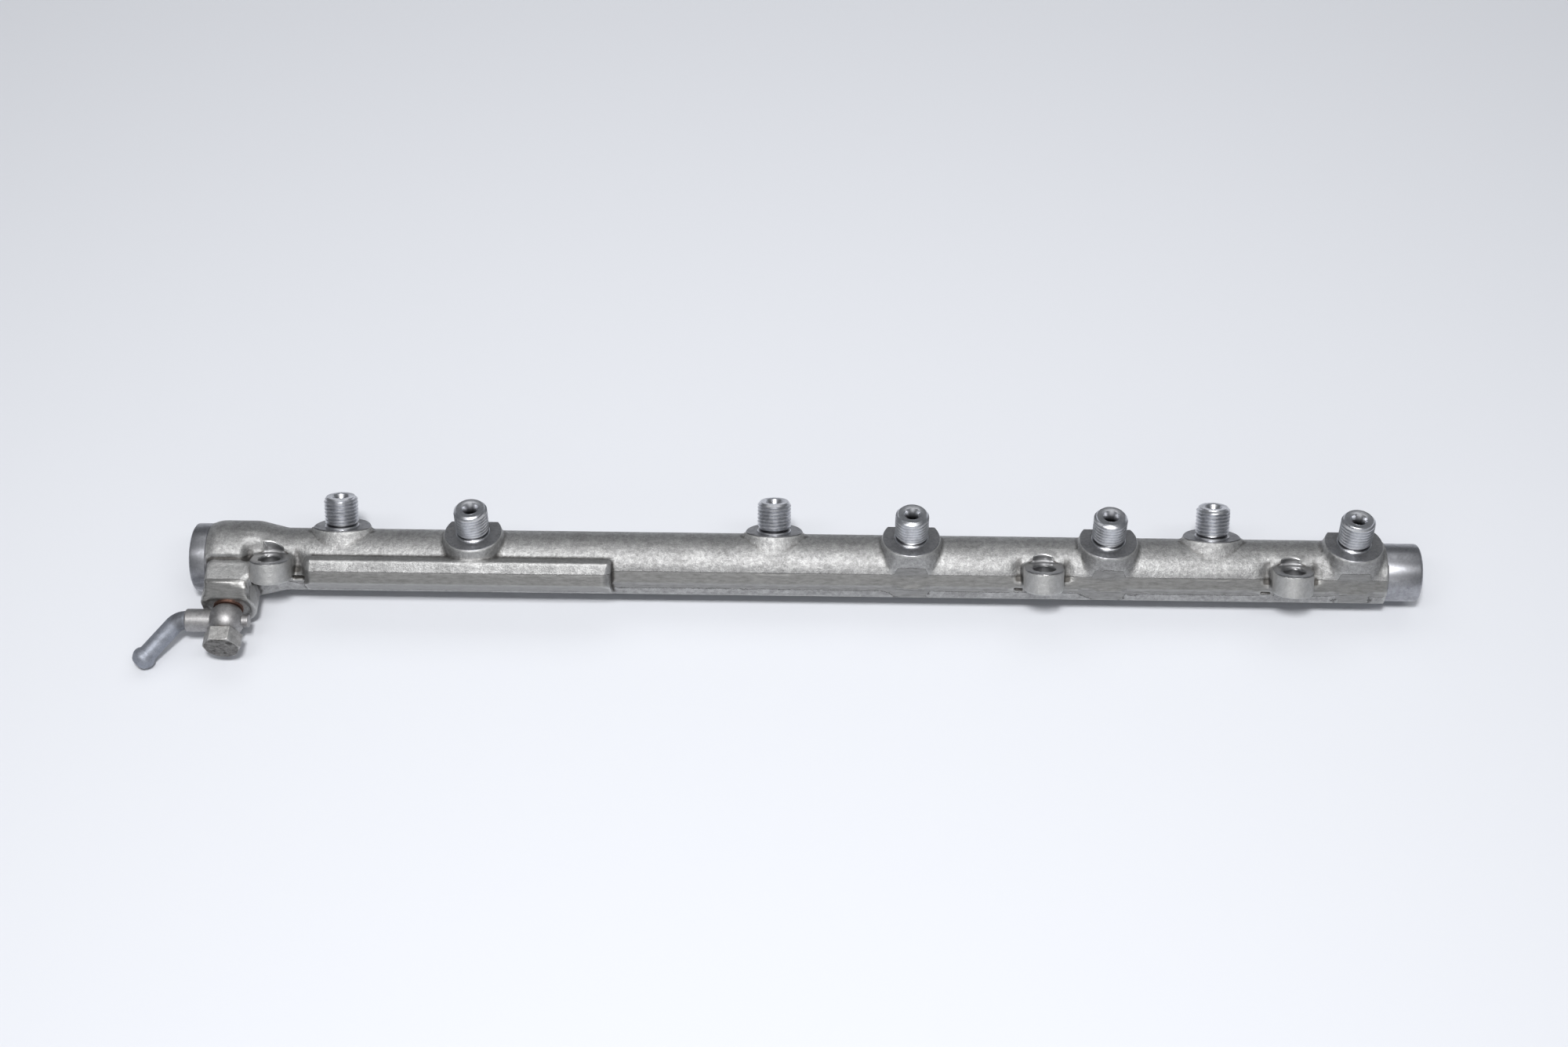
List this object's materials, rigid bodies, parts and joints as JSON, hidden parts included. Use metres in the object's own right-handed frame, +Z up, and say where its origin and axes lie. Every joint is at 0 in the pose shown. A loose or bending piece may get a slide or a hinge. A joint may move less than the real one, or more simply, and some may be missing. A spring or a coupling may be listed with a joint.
{
  "type": "fuel rail",
  "caption": "Forged common fuel rail with threaded pipe ports on flat bosses, bolt lugs, turned ends and a banjo return union with a bent hose pipe.",
  "frame": {"origin": "centre of the bounding box in X and Y, on the surface the rail lies on", "axes": "+X along the rail from the banjo end to the plain turned end, +Z up as it lies, -Y the side of the bolt lugs"},
  "size_m": [0.5374, 0.0711, 0.0458],
  "materials": {
    "forged_steel": "rough forged, ports and ends machined",
    "plated_steel": "satin",
    "dull_steel": "dull, scraped",
    "copper": "tarnished",
    "plated_pipe": "satin, stained in the bend"
  },
  "bodies": {
    "root": {"rail_body": "forged_steel", "banjo_eye": "plated_steel", "banjo_bolt": "dull_steel", "inner_ring": "copper", "outer_ring": "copper", "return_pipe": "plated_pipe"}
  },
  "joints": []
}
